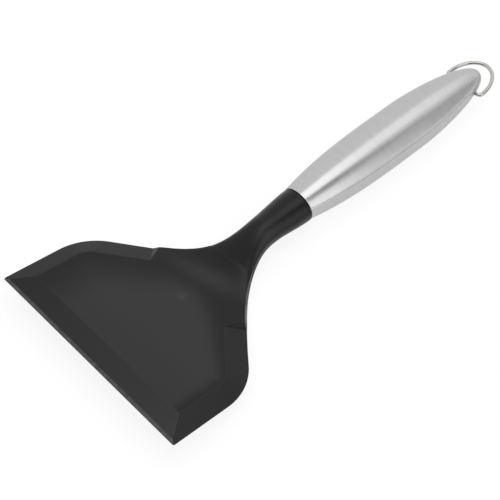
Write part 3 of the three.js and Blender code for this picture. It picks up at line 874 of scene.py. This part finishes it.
# Half of the wire's line: its place, and how far its two handles reach, towards the end and the crown.
half_line = [
    ((wire_inner, 0), (0, 0), (0, 0)),
    ((bend_start, 0), (0, 0), (bend_pull, 0)),
    ((wire_half, LOOP_BEND_RADIUS), (0, -bend_pull), (0, side_pull)),
]
line_crown = [((0, LOOP_REACH), (crown_pull, 0), (-crown_pull, 0))]
mirrored = [((-x, out), (-bx, b), (-ax, a)) for (x, out), (ax, a), (bx, b) in half_line[::-1]]
line = half_line + line_crown + mirrored

wire = bpy.data.curves.new("wire_line", "CURVE")
wire.dimensions = "3D"
wire.bevel_depth = WIRE_DIAMETER / 2
wire.bevel_resolution = WIRE_ROUND_STEPS
wire.resolution_u = WIRE_STEPS
wire.use_fill_caps = True
spline = wire.splines.new("BEZIER")
spline.bezier_points.add(len(line) - 1)
for point, ((x, out), before, after) in zip(spline.bezier_points, line):
    point.handle_left_type = point.handle_right_type = "FREE"
    point.co = (x, -out, 0)
    point.handle_left = (x + before[0], -out - before[1], 0)
    point.handle_right = (x + after[0], -out - after[1], 0)
wire_form = bpy.data.objects.new("wire_line", wire)
bpy.context.scene.collection.objects.link(wire_form)
wire_mesh = settled_mesh(wire_form)
bpy.data.objects.remove(wire_form)

loop = add_piece("wire_loop", wire_mesh, loop_frame @ Matrix.Rotation(-LOOP_LIFT, 4, "X"))
settle(loop, WIRE_SMOOTH_ANGLE)
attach(loop, "loop")
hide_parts("hanging_loop")

WIRE_DARK = (0.44, 0.427, 0.41)
WIRE_LIGHT = (0.51, 0.497, 0.48)
WIRE_GRAIN_SCALE = 2500
WIRE_MOTTLE_SCALE = 300
WIRE_GRAIN_DEPTH = 0.000001
WIRE_ROUGHNESS = (0.06, 0.1)

polished, tree, grain, shader = grained_material(
    "polished_wire", EVEN, WIRE_GRAIN_SCALE, WIRE_MOTTLE_SCALE)
vary_colour(tree, grain.outputs["Mottle"], shader, WIRE_DARK, WIRE_LIGHT)
vary_value(tree, grain.outputs["Mottle"], shader.inputs["Roughness"], *WIRE_ROUGHNESS)
add_bump(tree, grain.outputs["Grain"], shader, WIRE_GRAIN_DEPTH)
shader.inputs["Metallic"].default_value = 1
give_material(loop, polished)

# Studio
# A pale table in a white room, under three soft lights, seen from the photograph's viewpoint.

WHITE = (1, 1, 1, 1)
FLOOR_SIZE = 6
FLOOR_DROP = 0.0001
FLOOR_COLOUR = (0.9, 0.9, 0.9, 1)
FLOOR_GLOW = 0.82
FLOOR_GLOW_STRENGTH = 1.04

bpy.ops.mesh.primitive_plane_add(size=FLOOR_SIZE, location=(0, 0, -FLOOR_DROP))
floor = bpy.context.object
floor.name = "studio_table"


def seen_ray(tree):
    """One where a ray comes from the camera, a mirror or glass, so that all three see the background."""
    path = tree.nodes.new("ShaderNodeLightPath")
    seen = path.outputs["Is Camera Ray"]
    for kind in ("Is Glossy Ray", "Is Transmission Ray"):
        either = tree.nodes.new("ShaderNodeMath")
        either.operation = "MAXIMUM"
        tree.links.new(seen, either.inputs[0])
        tree.links.new(path.outputs[kind], either.inputs[1])
        seen = either.outputs["Value"]
    return seen


table = bpy.data.materials.new("pale_table")
table.use_nodes = True
tree = table.node_tree
tree.nodes.clear()
lit = tree.nodes.new("ShaderNodeBsdfDiffuse")
lit.inputs["Color"].default_value = FLOOR_COLOUR
glow = tree.nodes.new("ShaderNodeEmission")
glow.inputs["Color"].default_value = WHITE
glow.inputs["Strength"].default_value = FLOOR_GLOW_STRENGTH
glow_share = tree.nodes.new("ShaderNodeMath")
glow_share.operation = "MULTIPLY"
glow_share.inputs[1].default_value = FLOOR_GLOW
tree.links.new(seen_ray(tree), glow_share.inputs[0])
mix = tree.nodes.new("ShaderNodeMixShader")
tree.links.new(glow_share.outputs["Value"], mix.inputs["Fac"])
tree.links.new(lit.outputs["BSDF"], mix.inputs[1])
tree.links.new(glow.outputs["Emission"], mix.inputs[2])
surface = tree.nodes.new("ShaderNodeOutputMaterial")
tree.links.new(mix.outputs["Shader"], surface.inputs["Surface"])
floor.data.materials.append(table)

DOME_STRENGTH = 0.85

world = bpy.data.worlds.new("white_studio")
world.use_nodes = True
bpy.context.scene.world = world
tree = world.node_tree
tree.nodes.clear()
dome = tree.nodes.new("ShaderNodeBackground")
dome.inputs["Color"].default_value = WHITE
dome.inputs["Strength"].default_value = DOME_STRENGTH
backdrop = tree.nodes.new("ShaderNodeBackground")
backdrop.inputs["Color"].default_value = WHITE
mix = tree.nodes.new("ShaderNodeMixShader")
tree.links.new(seen_ray(tree), mix.inputs["Fac"])
tree.links.new(dome.outputs["Background"], mix.inputs[1])
tree.links.new(backdrop.outputs["Background"], mix.inputs[2])
surface = tree.nodes.new("ShaderNodeOutputWorld")
tree.links.new(mix.outputs["Shader"], surface.inputs["Surface"])


def softbox(name, place, aim, size, power):
    """A soft lamp that the camera doesn't see."""
    lamp = bpy.data.lights.new(name, "AREA")
    lamp.shape = "RECTANGLE"
    lamp.size, lamp.size_y = size
    lamp.energy = power
    box = bpy.data.objects.new(name, lamp)
    box.location = place
    box.rotation_euler = (Vector(aim) - Vector(place)).to_track_quat("-Z", "Y").to_euler()
    box.visible_camera = False
    bpy.context.scene.collection.objects.link(box)


softbox("overhead_box", place=(-0.01, -0.09, 0.88), aim=(-0.01, -0.05, 0), size=(0.5, 0.7), power=1.15)
softbox("back_box", place=(0.055, -0.634, 0.636), aim=(0, 0, 0), size=(0.4, 0.45), power=0.19)
softbox("side_box", place=(-0.85, -0.12, 0.42), aim=(0, 0, 0.05), size=(0.5, 0.82), power=1.17)

# Only glossy surfaces see the cards: a grey one, cut to a slant, off the handle's left side, a small dark
# one before it that shows beside the handle's mouth, and a large dark one behind the viewer.


def stand_card(name, grey, azimuth, distance, outline):
    """A flat matt card that stands round the part. Its outline is across and up from the table."""
    mesh = bpy.data.meshes.new(name)
    corners = [(distance, -across, height) for across, height in outline]
    mesh.from_pydata(corners, [], [tuple(range(len(corners)))])
    mesh.transform(Matrix.Rotation(azimuth, 4, "Z"))
    card = bpy.data.objects.new(name, mesh)
    bpy.context.scene.collection.objects.link(card)
    card.visible_camera = False
    card.visible_diffuse = False
    card.visible_shadow = False
    matt = bpy.data.materials.new(name)
    matt.use_nodes = True
    shader = matt.node_tree.nodes["Principled BSDF"]
    shader.inputs["Base Color"].default_value = (grey, grey, grey, 1)
    shader.inputs["Roughness"].default_value = 1
    mesh.materials.append(matt)


NEAR_CARD = ((-0.63, 0), (0.09, 0), (0.66, 2.24), (0.06, 2.24), (-0.08, 0.87))
MOUTH_CARD = ((-0.13, 0.85), (0.1, 0.85), (0.2, 1.65), (-0.09, 1.65))
ROOM_CARD = ((-1, 0.15), (1, 0.15), (1, 1.7), (-1, 1.7))
stand_card("near_card", grey=0.66, azimuth=math.radians(-135), distance=0.7, outline=NEAR_CARD)
stand_card("mouth_card", grey=0.1, azimuth=math.radians(-148), distance=0.64, outline=MOUTH_CARD)
stand_card("room_card", grey=0.2, azimuth=math.radians(122), distance=1, outline=ROOM_CARD)

VIEW_AIM = Vector((-0.00622, 0.0486, 0.015))
VIEW_AZIMUTH = math.radians(227)
VIEW_ELEVATION = math.radians(51.38)
VIEW_ROLL = math.radians(-0.2)
VIEW_DISTANCE = 0.635
VIEW_LENS = 85.47
SENSOR_WIDTH = 36

camera = bpy.data.cameras.new("view")
camera.lens = VIEW_LENS
camera.sensor_width = SENSOR_WIDTH
viewer = bpy.data.objects.new("view", camera)
bpy.context.scene.collection.objects.link(viewer)
away_x = math.sin(VIEW_AZIMUTH) * math.cos(VIEW_ELEVATION)
away_y = -math.cos(VIEW_AZIMUTH) * math.cos(VIEW_ELEVATION)
back = Vector((away_x, away_y, math.sin(VIEW_ELEVATION)))
facing = (-back).to_track_quat("-Z", "Y").to_matrix().to_4x4()
roll = Matrix.Rotation(VIEW_ROLL, 4, "Z")
viewer.matrix_world = Matrix.Translation(VIEW_AIM + back * VIEW_DISTANCE) @ facing @ roll
bpy.context.scene.camera = viewer
bpy.context.scene.view_settings.view_transform = "Standard"
